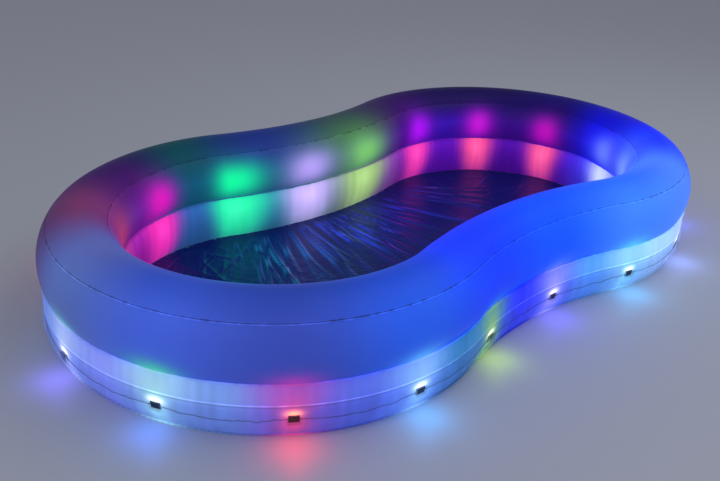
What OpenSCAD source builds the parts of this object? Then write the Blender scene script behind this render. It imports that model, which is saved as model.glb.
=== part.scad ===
// Inflatable family pool with two stacked air rings in a figure-eight plan and
// a string of coloured light modules in a clear sleeve round the lower ring.
// The origin is on the ground at the middle of the pool, with the long way along X.

/* [Plan] */
// Distance from the middle of the pool to the middle of each round end
lobe_c = 580; // [480:5:720]
// Radius of the rings' centre line round each end
lobe_r = 606; // [500:2:740]
// Radius of the rings' centre line along the waist
waist_r = 1359; // [1100:1:1650]

/* [Upper ring] */
// Half the width of the upper ring
ring_half_w = 124; // [100:1:150]
// Height of the weld between the two rings
crease_z = 169; // [140:1:205]
// Height from that weld to the upper ring's widest level
upper_drop = 63.5; // [50:0.5:77]
// Height from the widest level to the top
upper_rise = 144.5; // [120:0.5:174]
// Angle of the top panel's two seams above the horizontal
seam_angle = 37.5; // [31:0.5:46]

/* [Lower ring] */
// How much narrower the lower ring is than the upper, on each side
lower_inset = 7.6; // [2:0.2:20]
// Height of the lower ring's widest level
lower_mid_z = 105; // [86:1:127]
// Radius of the bulge of the lower ring's walls
lower_wall_r = 231; // [192:1:280]

/* [Sheets and welds] */
// Thickness of the sheets as modelled
skin_t = 1; // [0.8:0.1:1.4]
// Width of the weld fins at the crease and at the ground
fin_w = 8; // [6:0.5:10]
// Width of a lapped seam
lap_w = 12; // [8:1:16]

/* [Light sleeve] */
// Height of the sleeve's upper edge
sleeve_top_z = 104; // [98:1:108]
// Stand-off of the sleeve from its straight chord
sleeve_bulge = 16; // [15:0.5:20]
// Height of the sleeve's upper weld tab
sleeve_tab = 7; // [5:1:9]

/* [Lights] */
// Number of light modules
lights_n = 18; // [12:1:18]
// Length of a module along the wall
light_len = 29; // [22:1:35]
// Height of a module
light_h = 21; // [16:1:26]
// Depth of a module's housing
light_d = 5; // [4:0.5:6]
// Height of the modules' middle
light_z = 66.7; // [58:0.5:72]
// Stretch of wall without modules
lead_gap = 720; // [500:10:900]
// Distance along the wall from the power box to the first module
lead_ahead = 713; // [420:1:800]
// Radius of the light cable
wire_r = 1.4; // [1.2:0.1:1.8]
// Height of the cable's waves
wire_wave = 9; // [4:1:12]

/* [Air valves] */
// Outer radius of a valve's neck
neck_r = 13; // [12:0.5:16]
// Radius of the bore in the neck
bore_r = 10; // [9.5:0.25:11]
// Radius of the welded patch round a valve
patch_r = 22; // [20:1:24]
// Depth of the neck inside the wall
neck_in = 12; // [10:1:15]
// Angle of the valves round the right-hand end
valve_angle = 60; // [40:1:75]
// Height of the lower ring's valve
lower_valve_z = 139; // [136:1:141]
// Running clearance of the screwed insert
screw_gap = 0.08; // [0.05:0.01:0.1]

/* [Drain] */
// Radius of the drain hole
drain_r = 12; // [9:0.5:15]
// Distance of the drain from the middle of the pool
drain_x = 760; // [640:5:880]
// Distance of the drain towards the front
drain_y = 330; // [280:5:380]

/* [Power box] */
// Angle of the box round the left-hand end
box_angle = 122; // [110:1:160]
// Drop from the crease to the top of the box
box_drop = 6; // [4:0.5:8]
// Length of the box along the wall
box_len = 92; // [88:1:110]
// Height of the box
box_h = 48; // [47:1:58]
// Depth of the box without its cover
box_d = 17; // [17:0.5:20]
// Wall of the box
box_wall = 1.6; // [1.2:0.1:1.8]
// Radius of a battery cell
cell_r = 7.1; // [6.8:0.1:7.1]
// Length of a battery cell
cell_len = 50; // [42:0.5:50]
// Clearance round the sliding cover
slide_gap = 0.3; // [0.2:0.05:0.5]

/* [Hidden] */
$fn = 64;
// Facets of the long arcs.
ring_fn = 180;
LIGHTS = [for (i = [1:lights_n]) str("light_", i)];

// Half the gap where two lengths of sheet are welded end to end.
joint_gap = 0.2;
// Clearance between a seam's lap and the panel under it.
lap_lift = 0.3;
// Clearance between the crown panel's edges and the side walls' edges, inside the weld.
seam_gap = 0.1;
// Clearance between the light sleeve's tab and the lower wall that it is welded to.
tab_gap = 0.05;

// Plan: each round end meets the waist arcs on a shared tangent.
waist_y = sqrt(pow(lobe_r + waist_r, 2) - lobe_c * lobe_c);
joint_a = atan2(waist_y, lobe_c);
lobe_sweep = 2 * (180 - joint_a);
waist_sweep = 180 - 2 * joint_a;

// Upper ring section: side arcs and a crown arc that share a tangent at the seams.
side_shift = (upper_rise - ring_half_w) / (1 + tan(seam_angle) - 1 / cos(seam_angle));
side_r = ring_half_w + side_shift;
crown_z = side_shift * tan(seam_angle);
crown_r = side_r - side_shift / cos(seam_angle);
crown_angle = seam_angle + seam_gap / crown_r * 180 / PI;
upper_mid_z = crease_z + upper_drop;
crease_half = sqrt(side_r * side_r - upper_drop * upper_drop) - side_shift;
fin_edge = crease_half + fin_w;

// Lower ring section: two bulged walls between the crease and the ground.
lower_half_w = ring_half_w - lower_inset;
lower_shift = lower_wall_r - lower_half_w;
function lower_wall_d(z) = sqrt(pow(lower_wall_r, 2) - pow(z - lower_mid_z, 2)) - lower_shift;
function lower_wall_tilt(z) = asin((lower_mid_z - z) / lower_wall_r);
foot_half = lower_wall_d(0);
base_edge = foot_half + fin_w;

// Clear sleeve: an arc from the lower wall down to the ground fin.
sleeve_top = [lower_wall_d(sleeve_top_z), sleeve_top_z];
sleeve_foot = [lower_wall_d(3 * skin_t) + 2, 3 * skin_t];
sleeve_chord = norm(sleeve_top - sleeve_foot);
sleeve_r = (sleeve_chord * sleeve_chord / 4 + sleeve_bulge * sleeve_bulge) / (2 * sleeve_bulge);
sleeve_out = [sleeve_top[1] - sleeve_foot[1], sleeve_foot[0] - sleeve_top[0]] / sleeve_chord;
sleeve_mid = (sleeve_top + sleeve_foot) / 2 - sleeve_out * (sleeve_r - sleeve_bulge);
function sleeve_d(z) = sleeve_mid[0] + sqrt(pow(sleeve_r, 2) - pow(z - sleeve_mid[1], 2));

// Distance along the lower ring's outer wall, from the front end of the right-hand arc.
wall_r = lobe_r + lower_half_w;
waist_wall_r = waist_r - lower_half_w;
lobe_run = wall_r * lobe_sweep * PI / 180;
waist_run = waist_wall_r * waist_sweep * PI / 180;
whole_run = 2 * (lobe_run + waist_run);
box_run = lobe_run + waist_run + wall_r * (box_angle - joint_a) * PI / 180;
light_pitch = (whole_run - lead_gap) / (lights_n - 1);
light_start = box_run + lead_ahead;

// Place on the outer wall at a run s: [centre x, centre y, angle of the outward side, 1 or -1, radius].
function wall_arc(s) = let (u = s - whole_run * floor(s / whole_run), v = u - lobe_run, w = v - waist_run)
    u < lobe_run ? [lobe_c, 0, joint_a - 180 + u / wall_r * 180 / PI, 1]
    : v < waist_run ? [0, waist_y, -joint_a - v / waist_wall_r * 180 / PI, -1]
    : w < lobe_run ? [-lobe_c, 0, joint_a + w / wall_r * 180 / PI, 1]
    : [0, -waist_y, 180 - joint_a - (w - lobe_run) / waist_wall_r * 180 / PI, -1];
function arc_r(p, d) = p[3] > 0 ? lobe_r + d : waist_r - d;
function wall_point(s, d, z) = let (p = wall_arc(s), r = arc_r(p, d))
    [p[0] + r * cos(p[2]), p[1] + r * sin(p[2]), z];

pvc = [0.93, 0.94, 0.96, 0.85];
clear_pvc = [0.85, 0.92, 0.97, 0.5];
navy = [0.09, 0.14, 0.26];
black = [0.06, 0.06, 0.07];
steel = [0.75, 0.75, 0.77];

// ---- Shapes that repeat ----

// Sweeps a section, drawn with +X outwards from the centre line, right round the plan.
// Each sheet is four lengths, two round ends and two for the waist, that meet on the tangents.
module sweep_ring() {
    lobe_gap = joint_gap / lobe_r * 180 / PI;
    waist_gap = joint_gap / waist_r * 180 / PI;
    for (side = [0, 1]) {
        mirror([side, 0, 0]) translate([lobe_c, 0, 0]) rotate(joint_a - 180 + lobe_gap)
            rotate_extrude(angle = lobe_sweep - 2 * lobe_gap, $fn = ring_fn)
                translate([lobe_r, 0]) children();
        mirror([0, side, 0]) translate([0, waist_y, 0]) rotate(180 + joint_a + waist_gap)
            rotate_extrude(angle = waist_sweep - 2 * waist_gap, $fn = ring_fn)
                translate([waist_r, 0]) mirror([1, 0]) children();
    }
}

// A flat strip of a section from d0 to d1 and z0 to z1.
module strip(d0, d1, z0, z1) {
    translate([d0, z0]) square([d1 - d0, z1 - z0]);
}

// A wedge from angle a0 to a1 that reaches past radius r.
module wedge(r, a0, a1) {
    function spoke(a) = 2 * r * [cos(a), sin(a)];
    polygon(concat([[0, 0]], [for (k = [0:3]) spoke(a0 + (a1 - a0) * k / 3)]));
}

// An arc-shaped band from radius r0 to r1.
module arc_band(r0, r1, a0, a1) {
    intersection() {
        difference() {
            circle(r1, $fn = 128);
            circle(r0, $fn = 128);
        }
        wedge(r1, a0, a1);
    }
}

// One side wall of the upper ring with its crease flange and its seam lap.
module upper_side_section() {
    low = -asin((upper_drop - skin_t) / side_r);
    translate([-side_shift, upper_mid_z]) {
        arc_band(side_r - skin_t, side_r, low, seam_angle);
        rotate(seam_angle) translate([side_r, 0]) seam_lap();
    }
    strip(crease_half - skin_t, fin_edge, crease_z + skin_t / 2, crease_z + 1.5 * skin_t);
}

// The lap that runs on past a wall's edge, over the panel beside it, with +Y along the section.
module seam_lap() {
    half = lap_w / 2;
    polygon([[-skin_t / 2, -half], [skin_t, -half], [skin_t, half],
        [lap_lift, half], [lap_lift, -0.5], [-skin_t / 2, -0.5]]);
}

// The bulged part of one lower wall from height z0 to z1, between two depths of the sheet.
module lower_band(in, out, z0, z1) {
    translate([-lower_shift, lower_mid_z])
        arc_band(lower_wall_r + in, lower_wall_r + out,
            asin((z0 - lower_mid_z) / lower_wall_r), asin((z1 - lower_mid_z) / lower_wall_r));
}

// One side wall of the lower ring with its flanges at the crease and at the ground.
module lower_side_section() {
    crease_in = lower_wall_d(crease_z) - skin_t;
    lower_band(-skin_t, 0, 1.5 * skin_t, crease_z - skin_t);
    strip(crease_in, fin_edge, crease_z - 1.5 * skin_t, crease_z - skin_t / 2);
    strip(foot_half - skin_t, base_edge, skin_t, 2 * skin_t);
}

// Sets children on the outer wall at run s, depth d and height z, with +X outwards.
module on_wall(s, d, z) {
    p = wall_arc(s);
    translate([p[0], p[1], z]) rotate(p[2])
        translate([arc_r(p, d), 0, 0]) rotate(p[3] > 0 ? 0 : 180) children();
}

// Sets children on a valve's centre, with the wall's outer face at the origin and +X outwards.
module at_valve(z, d, tilt) {
    translate([lobe_c, 0, z]) rotate(valve_angle)
        translate([lobe_r + d, 0, 0]) rotate([0, tilt, 0]) children();
}
module at_upper_valve() {
    at_valve(upper_mid_z, ring_half_w, 0) children();
}
module at_lower_valve() {
    at_valve(lower_valve_z, lower_wall_d(lower_valve_z), lower_wall_tilt(lower_valve_z)) children();
}

// A round bar along +X from x0 to x1.
module bar(r, x0, x1) {
    translate([x0, 0, 0]) rotate([0, 90, 0]) cylinder(r = r, h = x1 - x0);
}

// Sweeps the whole right-hand end only, for the patches that follow its wall.
module right_end() {
    translate([lobe_c, 0, 0]) rotate(joint_a - 180)
        rotate_extrude(angle = lobe_sweep, $fn = ring_fn) translate([lobe_r, 0]) children();
}

// A round tube with n sides through a list of points.
module tube(points, r, n) {
    last = len(points) - 1;
    function along(i) = points[min(i + 1, last)] - points[max(i - 1, 0)];
    function across(i) = let (t = along(i) / norm(along(i)), u = cross(t, [0.3, 0.2, 1])) u / norm(u);
    function ring(i) = let (t = along(i) / norm(along(i)), u = across(i), v = cross(t, u))
        [for (k = [0:n - 1]) points[i] + r * (u * cos(360 * k / n) + v * sin(360 * k / n))];
    polyhedron(
        points = [for (i = [0:last]) each ring(i)],
        faces = concat(
            [[for (k = [0:n - 1]) k]],
            [for (i = [0:last - 1], k = [0:n - 1])
                [i * n + k, (i + 1) * n + k, (i + 1) * n + (k + 1) % n, i * n + (k + 1) % n]],
            [[for (k = [n - 1:-1:0]) last * n + k]]));
}

// ---- Air rings ----

module top_panel() {
    color(pvc) sweep_ring() translate([0, upper_mid_z + crown_z])
        arc_band(crown_r - skin_t, crown_r, crown_angle, 180 - crown_angle);
}

module upper_outer_wall() {
    color(pvc) difference() {
        sweep_ring() upper_side_section();
        at_upper_valve() bar(neck_r, -neck_in, 10);
    }
}

module upper_inner_wall() {
    color(pvc) sweep_ring() mirror([1, 0]) upper_side_section();
}

module ring_diaphragm() {
    color(pvc) sweep_ring() strip(-fin_edge, fin_edge, crease_z - skin_t / 2, crease_z + skin_t / 2);
}

module lower_outer_wall() {
    color(pvc) difference() {
        sweep_ring() lower_side_section();
        at_lower_valve() bar(neck_r, -neck_in, 10);
    }
}

module lower_inner_wall() {
    color(pvc) sweep_ring() mirror([1, 0]) lower_side_section();
}

module ring_base_band() {
    color(pvc) sweep_ring() strip(-base_edge, base_edge, 0, skin_t);
}

// ---- Floor ----

// Outline at an outward offset d from the rings' centre line, anticlockwise from the front right.
lobe_steps = 70;
waist_steps = 20;
function on_circle(centre, r, a) = centre + r * [cos(a), sin(a)];
function outline(d) = let (r = lobe_r + d, w = waist_r - d,
        lobe = lobe_sweep / lobe_steps, waist = waist_sweep / waist_steps) concat(
    [for (k = [0:lobe_steps]) on_circle([lobe_c, 0], r, joint_a - 180 + lobe * k)],
    [for (k = [1:waist_steps - 1]) on_circle([0, waist_y], w, -joint_a - waist * k)],
    [for (k = [0:lobe_steps]) on_circle([-lobe_c, 0], r, joint_a + lobe * k)],
    [for (k = [1:waist_steps - 1]) on_circle([0, -waist_y], w, 180 - joint_a - waist * k)]);

// A flat frame between two outlines, from height z0 to z1.
module frame_strip(inner, outer, z0, z1) {
    translate([0, 0, z0]) linear_extrude(z1 - z0) difference() {
        polygon(outline(outer));
        polygon(outline(inner));
    }
}

module floor_sheet() {
    rim = -base_edge - lap_w / 2;
    color(navy) difference() {
        union() {
            linear_extrude(skin_t) polygon(outline(-base_edge - 0.2));
            frame_strip(rim, -base_edge - 0.2, 0, 3 * skin_t);
            frame_strip(rim, fin_w - 3 - base_edge, 2 * skin_t, 3 * skin_t);
        }
        translate([-drain_x, -drain_y, -1]) cylinder(r = drain_r + 2, h = 10);
    }
}

module drain_seat() {
    color(pvc) translate([-drain_x, -drain_y, 0]) difference() {
        union() {
            cylinder(r = drain_r + 2, h = 7);
            translate([0, 0, skin_t]) cylinder(r = drain_r + 14, h = 1.2);
        }
        translate([0, 0, -1]) cylinder(r = drain_r, h = 10);
    }
}

module drain_plug() {
    color(pvc) translate([-drain_x, -drain_y, 0]) {
        translate([0, 0, 1]) cylinder(r = drain_r - screw_gap, h = 7);
        translate([0, 0, 7.3]) cylinder(r = drain_r + 4, h = 1.7);
        translate([0, 0, 9]) rotate([90, 0, 0]) translate([0, 0, -1.25]) rotate_extrude(angle = 180)
            translate([5, 0]) square([3, 2.5]);
    }
}

// ---- Light string ----

// The film's two faces run from the ground fin up to the wall, and on up it as a tab.
sleeve_steps = 10;
function sleeve_arc(r, a0, a1) = [for (k = [0:sleeve_steps])
    sleeve_mid + r * [cos(a0 + (a1 - a0) * k / sleeve_steps), sin(a0 + (a1 - a0) * k / sleeve_steps)]];
function tab_side(d) = [for (z = [sleeve_top_z + 1, sleeve_top_z + sleeve_tab / 2, sleeve_top_z + sleeve_tab])
    [lower_wall_d(z) + d, z]];
function reversed(list) = [for (k = [len(list) - 1:-1:0]) list[k]];

module sleeve_section() {
    foot = atan2(sleeve_foot[1] - sleeve_mid[1], sleeve_foot[0] - sleeve_mid[0]);
    top = atan2(sleeve_top[1] - sleeve_mid[1], sleeve_top[0] - sleeve_mid[0]);
    polygon(concat([[foot_half + 1.5, 2 * skin_t], [base_edge, 2 * skin_t], [base_edge, 3 * skin_t]],
        sleeve_arc(sleeve_r, foot, top - 1), tab_side(skin_t),
        reversed(tab_side(tab_gap)), sleeve_arc(sleeve_r - skin_t, top - 2.5, foot + 1)));
}

module light_sleeve() {
    color(clear_pvc) difference() {
        sweep_ring() sleeve_section();
        lead_hole();
    }
}

// Depth and run at which the lead goes down through the sleeve.
lead_run = box_run + 30;
lead_z = 90;
lead_d = sleeve_d(lead_z) - 0.5;
grommet_r = wire_r + 1.6;

module lead_hole() {
    on_wall(lead_run, lead_d, lead_z - 9) cylinder(r = grommet_r, h = 16);
}

module wire_grommet() {
    color(black) on_wall(lead_run, lead_d, lead_z - 4) difference() {
        cylinder(r = grommet_r, h = 9);
        translate([0, 0, -1]) cylinder(r = wire_r, h = 12);
    }
}

module light_place(i) {
    on_wall(light_start + i * light_pitch, lower_wall_d(light_z) + 0.3, light_z)
        rotate([0, lower_wall_tilt(light_z), 0]) children();
}

// A lens on each module's back, which shines in through the ring's wall.
lens_r = 6;
lens_t = 1.5;

module light_housing(i) {
    color(black) light_place(i) difference() {
        translate([0, -light_len / 2, -light_h / 2]) cube([light_d, light_len, light_h]);
        bar(lens_r, -1, lens_t);
    }
}

module light_lenses() {
    color("white") for (i = [0:lights_n - 1]) light_place(i) {
        bar(lens_r, 0, lens_t);
    }
}

// The cable waves up and down between the modules, clear of the wall behind it.
wire_d = wire_r + 1.2;
function wave_point(s, k) = let (z = light_z - wire_wave / 2 + wire_wave / 2 * cos(k))
    wall_point(s, lower_wall_d(z) + wire_d, z);

module wire_stretch(i) {
    steps = 10;
    s0 = light_start + i * light_pitch + light_len / 2;
    s1 = light_start + (i + 1) * light_pitch - light_len / 2;
    tube([for (k = [0:steps]) wave_point(s0 + (s1 - s0) * k / steps, 360 * k / steps)], wire_r, 8);
}

// The lead: [run past the box, depth past the lead's hole, height].
lead_route = [[0, 0, 114.5], [0, 0, 104], [0, 0, 85.5], [0.3, -0.8, 82], [4, -3, 77], [12, -4.2, 72],
    [24, -4.6, 68], [40, -4.2, 65]];

module light_wire() {
    color(black) {
        for (i = [0:lights_n - 2]) wire_stretch(i);
        s1 = light_start - light_len / 2;
        s0 = lead_run + 60;
        tube(concat(
            [for (p = lead_route) wall_point(lead_run + p[0], lead_d + p[1], p[2])],
            [for (k = [0:24]) wave_point(s0 + (s1 - s0) * k / 24, 90 - 90 * k / 24)]), wire_r, 8);
    }
}

// ---- Air valves ----

hinge_out = 4.5;
hinge_r = 1.2;
hinge_off = neck_r + 3.5;
cap_r = neck_r;
cap_t = 2;
cap_seat = 3.3;

// Everything on a valve's neck: the neck with its bore, and two ears for the cap's hinge.
module neck_solid() {
    difference() {
        union() {
            bar(neck_r, -neck_in, 3);
            for (side = [-1, 1]) translate([0.5, side * 5 - 1, -hinge_off - 2])
                cube([2.5, 2, hinge_off - neck_r + 4]);
            for (side = [-1, 1]) translate([hinge_out, side * 5 - 1, -hinge_off]) rotate([-90, 0, 0])
                cylinder(r = 2, h = 2);
        }
        bar(bore_r, -neck_in - 1, 4);
        translate([hinge_out, -8, -hinge_off]) rotate([-90, 0, 0]) cylinder(r = hinge_r, h = 16);
    }
}

module upper_valve_base() {
    color(pvc) {
        difference() {
            intersection() {
                right_end() translate([-side_shift, upper_mid_z])
                    arc_band(side_r, side_r + skin_t, -20, 20);
                at_upper_valve() bar(patch_r, -6, 6);
            }
            at_upper_valve() bar(neck_r - 0.5, -20, 20);
        }
        at_upper_valve() neck_solid();
    }
}

module lower_valve_base() {
    color(pvc) {
        difference() {
            intersection() {
                right_end() lower_band(0, skin_t, lower_valve_z - 28, lower_valve_z + 28);
                at_lower_valve() bar(patch_r, -6, 6);
            }
            at_lower_valve() bar(neck_r - 0.5, -20, 20);
        }
        at_lower_valve() neck_solid();
    }
}

insert_bore = bore_r - 3;
module valve_insert() {
    difference() {
        bar(bore_r - screw_gap, 1 - neck_in, 2.8);
        bar(insert_bore, 1.5 - neck_in, 4);
        bar(1.5, -neck_in, 4);
        for (a = [0, 90, 180, 270]) rotate([a, 0, 0]) translate([0, insert_bore * 0.6, 0])
            bar(1.6, -neck_in, 4);
    }
}

module valve_flap() {
    bar(insert_bore + 1, -neck_in - 0.5, 0.7 - neck_in);
    bar(1.4, 0.7 - neck_in, 5.5 - neck_in);
    bar(2.2, 4.5 - neck_in, 5.5 - neck_in);
}

module valve_cap() {
    plug_in = 3;
    translate([cap_seat - plug_in, 0, 0]) rotate([0, 90, 0])
        cylinder(r1 = insert_bore - 1, r2 = insert_bore - 0.15, h = plug_in, $fn = 64);
    bar(cap_r, cap_seat, cap_seat + cap_t);
    translate([cap_seat, -3.6, -hinge_off]) cube([cap_t, 7.2, hinge_off]);
    translate([hinge_out, -6, -hinge_off]) rotate([-90, 0, 0]) cylinder(r = hinge_r - 0.08, h = 12);
    translate([cap_seat, -3, cap_r - 2]) cube([cap_t, 6, 6]);
}

module upper_valve_insert() {
    color(navy) at_upper_valve() valve_insert();
}
module upper_valve_flap() {
    color("silver") at_upper_valve() valve_flap();
}
module upper_valve_cap() {
    color(pvc) at_upper_valve() valve_cap();
}
module lower_valve_insert() {
    color(navy) at_lower_valve() valve_insert();
}
module lower_valve_flap() {
    color("silver") at_lower_valve() valve_flap();
}
module lower_valve_cap() {
    color(pvc) at_lower_valve() valve_cap();
}

// ---- Power box ----

cradle_x = 0.8;
cradle_t = 2.4;
box_x = cradle_x + cradle_t;
face_t = 2;
face_x = box_x + box_d;
split_y = cell_len / 2 - 12;
bay_y = -box_len / 2 + box_wall;
screw_y = box_len / 2 - 5.2;
screw_r = 1.2;
boss_r = 3;

// The box hangs below the crease, and its cradle stops above the sleeve's tab.
box_z = crease_z - box_drop - box_h / 2;
cradle_foot = max(1 - box_h / 2, sleeve_top_z + sleeve_tab + 2 - box_z);

// The box's own frame on the lower ring's wall: +X outwards, Y along the wall.
module at_box() {
    on_wall(box_run, lower_wall_d(box_z), box_z) rotate([0, lower_wall_tilt(box_z), 0]) children();
}

module box_block(x0, x1, y0, y1, z0, z1) {
    translate([x0, y0, z0]) cube([x1 - x0, y1 - y0, z1 - z0]);
}

module power_cradle() {
    color(pvc) {
        intersection() {
            mirror([1, 0, 0]) right_end() lower_band(0, skin_t, box_z - box_h / 2, box_z + box_h / 2);
            at_box() box_block(-5, 5, -box_len / 2 - 12, box_len / 2 + 12, cradle_foot, box_h / 2 - 3);
        }
        at_box() box_block(cradle_x, box_x, -box_len / 2 - 2, box_len / 2 + 2, cradle_foot, box_h / 2 - 3);
    }
}

module power_box() {
    color(black) at_box() difference() {
        union() {
            difference() {
                box_block(box_x, face_x, -box_len / 2, box_len / 2, -box_h / 2, box_h / 2);
                box_block(box_x + box_wall, face_x + 1, bay_y, split_y - box_wall,
                    -box_h / 2 + box_wall, box_h / 2 - box_wall);
                box_block(box_x + box_wall, face_x + 1, split_y, box_len / 2 - box_wall,
                    -box_h / 2 + box_wall, box_h / 2 - box_wall);
            }
            at_screws() bar(boss_r, box_x + 1, face_x);
        }
        at_screws() bar(screw_r, box_x + 3, face_x + 1);
    }
}

// Sets children on the two screws that hold the face to the box.
module at_screws() {
    for (side = [-1, 1]) translate([0, screw_y, side * (box_h / 2 - 5.2)]) children();
}

module power_box_face() {
    color(black) at_box() difference() {
        box_block(face_x, face_x + face_t, split_y - 1, box_len / 2, -box_h / 2, box_h / 2);
        translate([0, (split_y + box_len / 2) / 2, 0]) bar(button_r + 0.15, face_x - 1, face_x + face_t + 1);
        at_screws() bar(screw_r + 0.3, face_x - 1, face_x + 3);
    }
}

// Two screws through the face into the box's bosses.
module power_box_screws() {
    color(steel) at_box() at_screws() difference() {
        union() {
            bar(screw_r, box_x + 4, face_x + face_t);
            bar(2 * screw_r, face_x + face_t, face_x + face_t + 1.2);
        }
        for (turn = [0, 90]) rotate([turn, 0, 0])
            box_block(face_x + face_t + 0.6, face_x + face_t + 2, -1.4, 1.4, -0.3, 0.3);
    }
}

cover_y = split_y - 1 - slide_gap;
module battery_cover() {
    color(black) at_box() {
        box_block(face_x + 0.05, face_x + face_t, -box_len / 2, cover_y, -box_h / 2, box_h / 2);
        for (k = [0:4]) translate([0, bay_y + 4 + 3 * k, 0])
            box_block(face_x + face_t, face_x + face_t + 0.6, 0, 1.2, -8, 8);
    }
}

cell_pitch = 2 * cell_r + 0.5;
cell_x = box_x + box_wall + cell_r + 0.2;
cell_y = (bay_y + split_y - box_wall) / 2;
module battery_cells() {
    color("gold") at_box() for (k = [-1:1]) translate([cell_x, cell_y - cell_len / 2, k * cell_pitch])
        rotate([-90, 0, 0]) {
            cylinder(r = cell_r, h = cell_len - 1);
            translate([0, 0, cell_len - 1]) cylinder(r = 2.7, h = 1);
        }
}

module battery_contacts() {
    color(steel) at_box() for (k = [-1:1]) {
        translate([cell_x, cell_y, k * cell_pitch]) {
            translate([-5, cell_len / 2 + 0.05, -5]) cube([10, 0.4, 10]);
            translate([-5, -cell_len / 2 - 2.05, -5]) cube([10, 0.4, 10]);
            translate([0, -cell_len / 2 - 1.65, 0]) rotate([-90, 0, 0]) cylinder(r1 = 4.5, r2 = 2.5, h = 1.6);
        }
    }
}

board_x = box_x + 6;
button_r = 5.5;
module control_board() {
    mid_y = (split_y + box_len / 2 - box_wall) / 2;
    color("green") at_box() {
        box_block(board_x, board_x + 1.6, split_y + 0.5, screw_y - boss_r - 0.5,
            -box_h / 2 + 2, box_h / 2 - 2);
        translate([0, (split_y + box_len / 2) / 2, 0]) bar(3, board_x + 1.6, board_x + 4.5);
        box_block(box_x + box_wall, board_x, mid_y - 4, mid_y + 1, -6, 6);
    }
}

module mode_button() {
    color([0.75, 0.77, 0.8]) at_box() translate([0, (split_y + box_len / 2) / 2, 0]) {
        bar(button_r, board_x + 6, face_x + face_t + 1.2);
        bar(button_r + 1.2, board_x + 6, face_x - 0.2);
    }
}

top_panel();
upper_outer_wall();
upper_inner_wall();
ring_diaphragm();
lower_outer_wall();
lower_inner_wall();
ring_base_band();
floor_sheet();
light_sleeve();
light_lenses();
light_wire();
wire_grommet();
upper_valve_base();
upper_valve_insert();
upper_valve_flap();
upper_valve_cap();
lower_valve_base();
lower_valve_insert();
lower_valve_flap();
lower_valve_cap();
drain_seat();
drain_plug();
power_cradle();
power_box();
power_box_face();
power_box_screws();
battery_cover();
battery_cells();
battery_contacts();
control_board();
mode_button();
for (i = [1:lights_n]) light_housing(i - 1);
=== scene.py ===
import math
import numpy as np
import bpy
from mathutils import Matrix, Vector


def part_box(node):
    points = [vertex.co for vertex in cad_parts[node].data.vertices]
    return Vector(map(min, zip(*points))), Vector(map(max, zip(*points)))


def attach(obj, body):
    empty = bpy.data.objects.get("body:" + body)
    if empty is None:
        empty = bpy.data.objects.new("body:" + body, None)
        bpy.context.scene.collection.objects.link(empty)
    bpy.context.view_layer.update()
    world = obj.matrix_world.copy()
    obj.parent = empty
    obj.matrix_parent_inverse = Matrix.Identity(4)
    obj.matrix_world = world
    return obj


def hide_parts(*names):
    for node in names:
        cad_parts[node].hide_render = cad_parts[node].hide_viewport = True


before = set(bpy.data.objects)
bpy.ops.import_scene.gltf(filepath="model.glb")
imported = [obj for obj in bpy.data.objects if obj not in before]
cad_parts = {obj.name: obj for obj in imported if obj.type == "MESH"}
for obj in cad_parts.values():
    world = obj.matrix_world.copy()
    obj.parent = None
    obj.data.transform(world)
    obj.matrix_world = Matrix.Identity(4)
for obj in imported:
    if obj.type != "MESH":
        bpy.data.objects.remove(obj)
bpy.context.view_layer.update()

# where the camera stands and what it looks at, angles in radians
camera = {"turn": -0.7627, "height": 0.4527, "distance": 3.178, "aim": (-0.0558, 0.1597, 0.0),
          "roll": 0.0497, "lens": 40.956, "sensor": 36}


def placeCamera():
    turn, height, roll = camera["turn"], camera["height"], camera["roll"]
    back = np.array([math.sin(turn) * math.cos(height), -math.cos(turn) * math.cos(height), math.sin(height)])
    right = np.cross(-back, (0, 0, 1))
    right /= np.linalg.norm(right)
    up = np.cross(right, -back)
    rolledRight = right * math.cos(roll) + up * math.sin(roll)
    rolledUp = up * math.cos(roll) - right * math.sin(roll)
    data = bpy.data.cameras.new("viewCamera")
    data.lens, data.sensor_width = camera["lens"], camera["sensor"]
    item = bpy.data.objects.new("viewCamera", data)
    spot = np.array(camera["aim"]) + back * camera["distance"]
    rows = np.column_stack([rolledRight, rolledUp, back, spot])
    item.matrix_world = Matrix(np.vstack([rows, (0, 0, 0, 1)]).tolist())
    bpy.context.collection.objects.link(item)
    bpy.context.scene.camera = item


placeCamera()
print("camera placed")

# the ring's plan and section, metres and degrees; the rest comes from the CAD boxes
ring = {"tubeHalf": 0.124, "waistRadius": 1.359, "seamAngle": 37.5, "finWidth": 0.008, "lowerRadius": 0.231,
        "lowerMid": 0.105, "lowerReach": 0.1146, "upperDrop": 0.0635, "film": 0.0012,
        "valveHole": 0.0165, "lamps": 18}
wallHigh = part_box("upper_outer_wall")[1]
lobeCentre = wallHigh.x - wallHigh.y
lobeRadius = wallHigh.y - ring["tubeHalf"]
waistCentre = math.sqrt((lobeRadius + ring["waistRadius"]) ** 2 - lobeCentre ** 2)
tangentAngle = math.atan2(waistCentre, lobeCentre)
creaseHeight = (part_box("ring_diaphragm")[0].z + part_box("ring_diaphragm")[1].z) / 2
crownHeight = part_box("top_panel")[1].z
upperMid = creaseHeight + ring["upperDrop"]
upperRise = crownHeight - upperMid
seam = math.radians(ring["seamAngle"])
sideShift = (upperRise - ring["tubeHalf"]) / (1 + math.tan(seam) - 1 / math.cos(seam))
sideRadius = ring["tubeHalf"] + sideShift
crownLift = sideShift * math.tan(seam)
crownRadius = sideRadius - sideShift / math.cos(seam)
lowerShift = ring["lowerRadius"] - (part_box("lower_outer_wall")[1].y - lobeRadius)
lowerHalf = ring["lowerRadius"] - ring["lowerReach"]
runRadius = lobeRadius + lowerHalf  # runs are measured along the lower ring's outer wall
waistRunRadius = ring["waistRadius"] - lowerHalf
lobeRun = runRadius * 2 * (math.pi - tangentAngle)
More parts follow.
